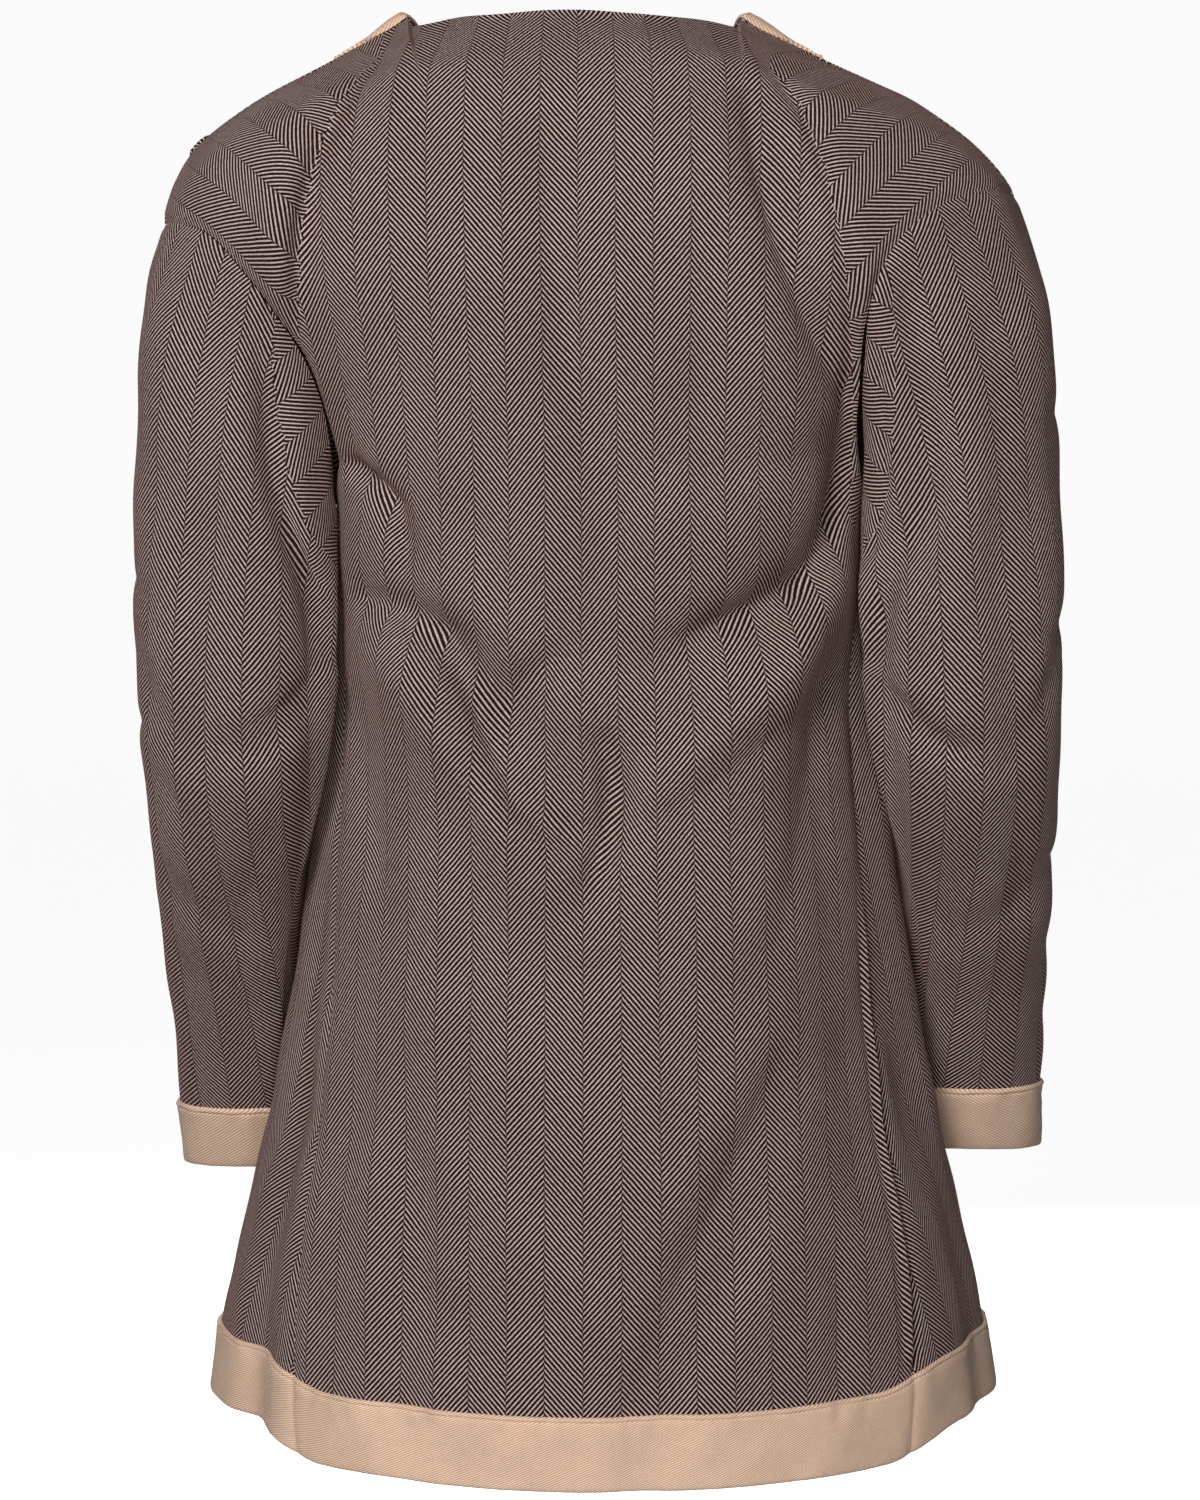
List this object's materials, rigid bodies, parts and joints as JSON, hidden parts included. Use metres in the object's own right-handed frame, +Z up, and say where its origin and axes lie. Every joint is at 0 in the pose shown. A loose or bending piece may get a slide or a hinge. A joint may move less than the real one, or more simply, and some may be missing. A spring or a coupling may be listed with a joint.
{
  "type": "kaftan",
  "caption": "Short A-line wool kaftan in brown and off-white herringbone, long sleeves, side gores and plain linen bands at the open front, cuffs and hem, in its worn hollow form.",
  "frame": {"origin": "nape, level with the middle of the back neck edge, in the plane of the shoulder line, where the wearer carries the garment", "axes": "+X to the wearer's left, +Y to the back, +Z up; the front faces -Y"},
  "size_m": [0.5658, 0.3741, 0.865],
  "materials": {
    "wool": "dark brown and off-white herringbone twill, matte with a short soft nap",
    "linen": "warm beige fine twill band, matte"
  },
  "bodies": {
    "root": {"back_panel": "wool", "front_left": "wool", "front_right": "wool", "gore_left": "wool", "gore_right": "wool", "sleeve_left": "wool", "sleeve_right": "wool", "front_band_left": "linen", "front_band_right": "linen", "cuff_band_left": "linen", "cuff_band_right": "linen", "hem_band": "linen"}
  },
  "joints": []
}
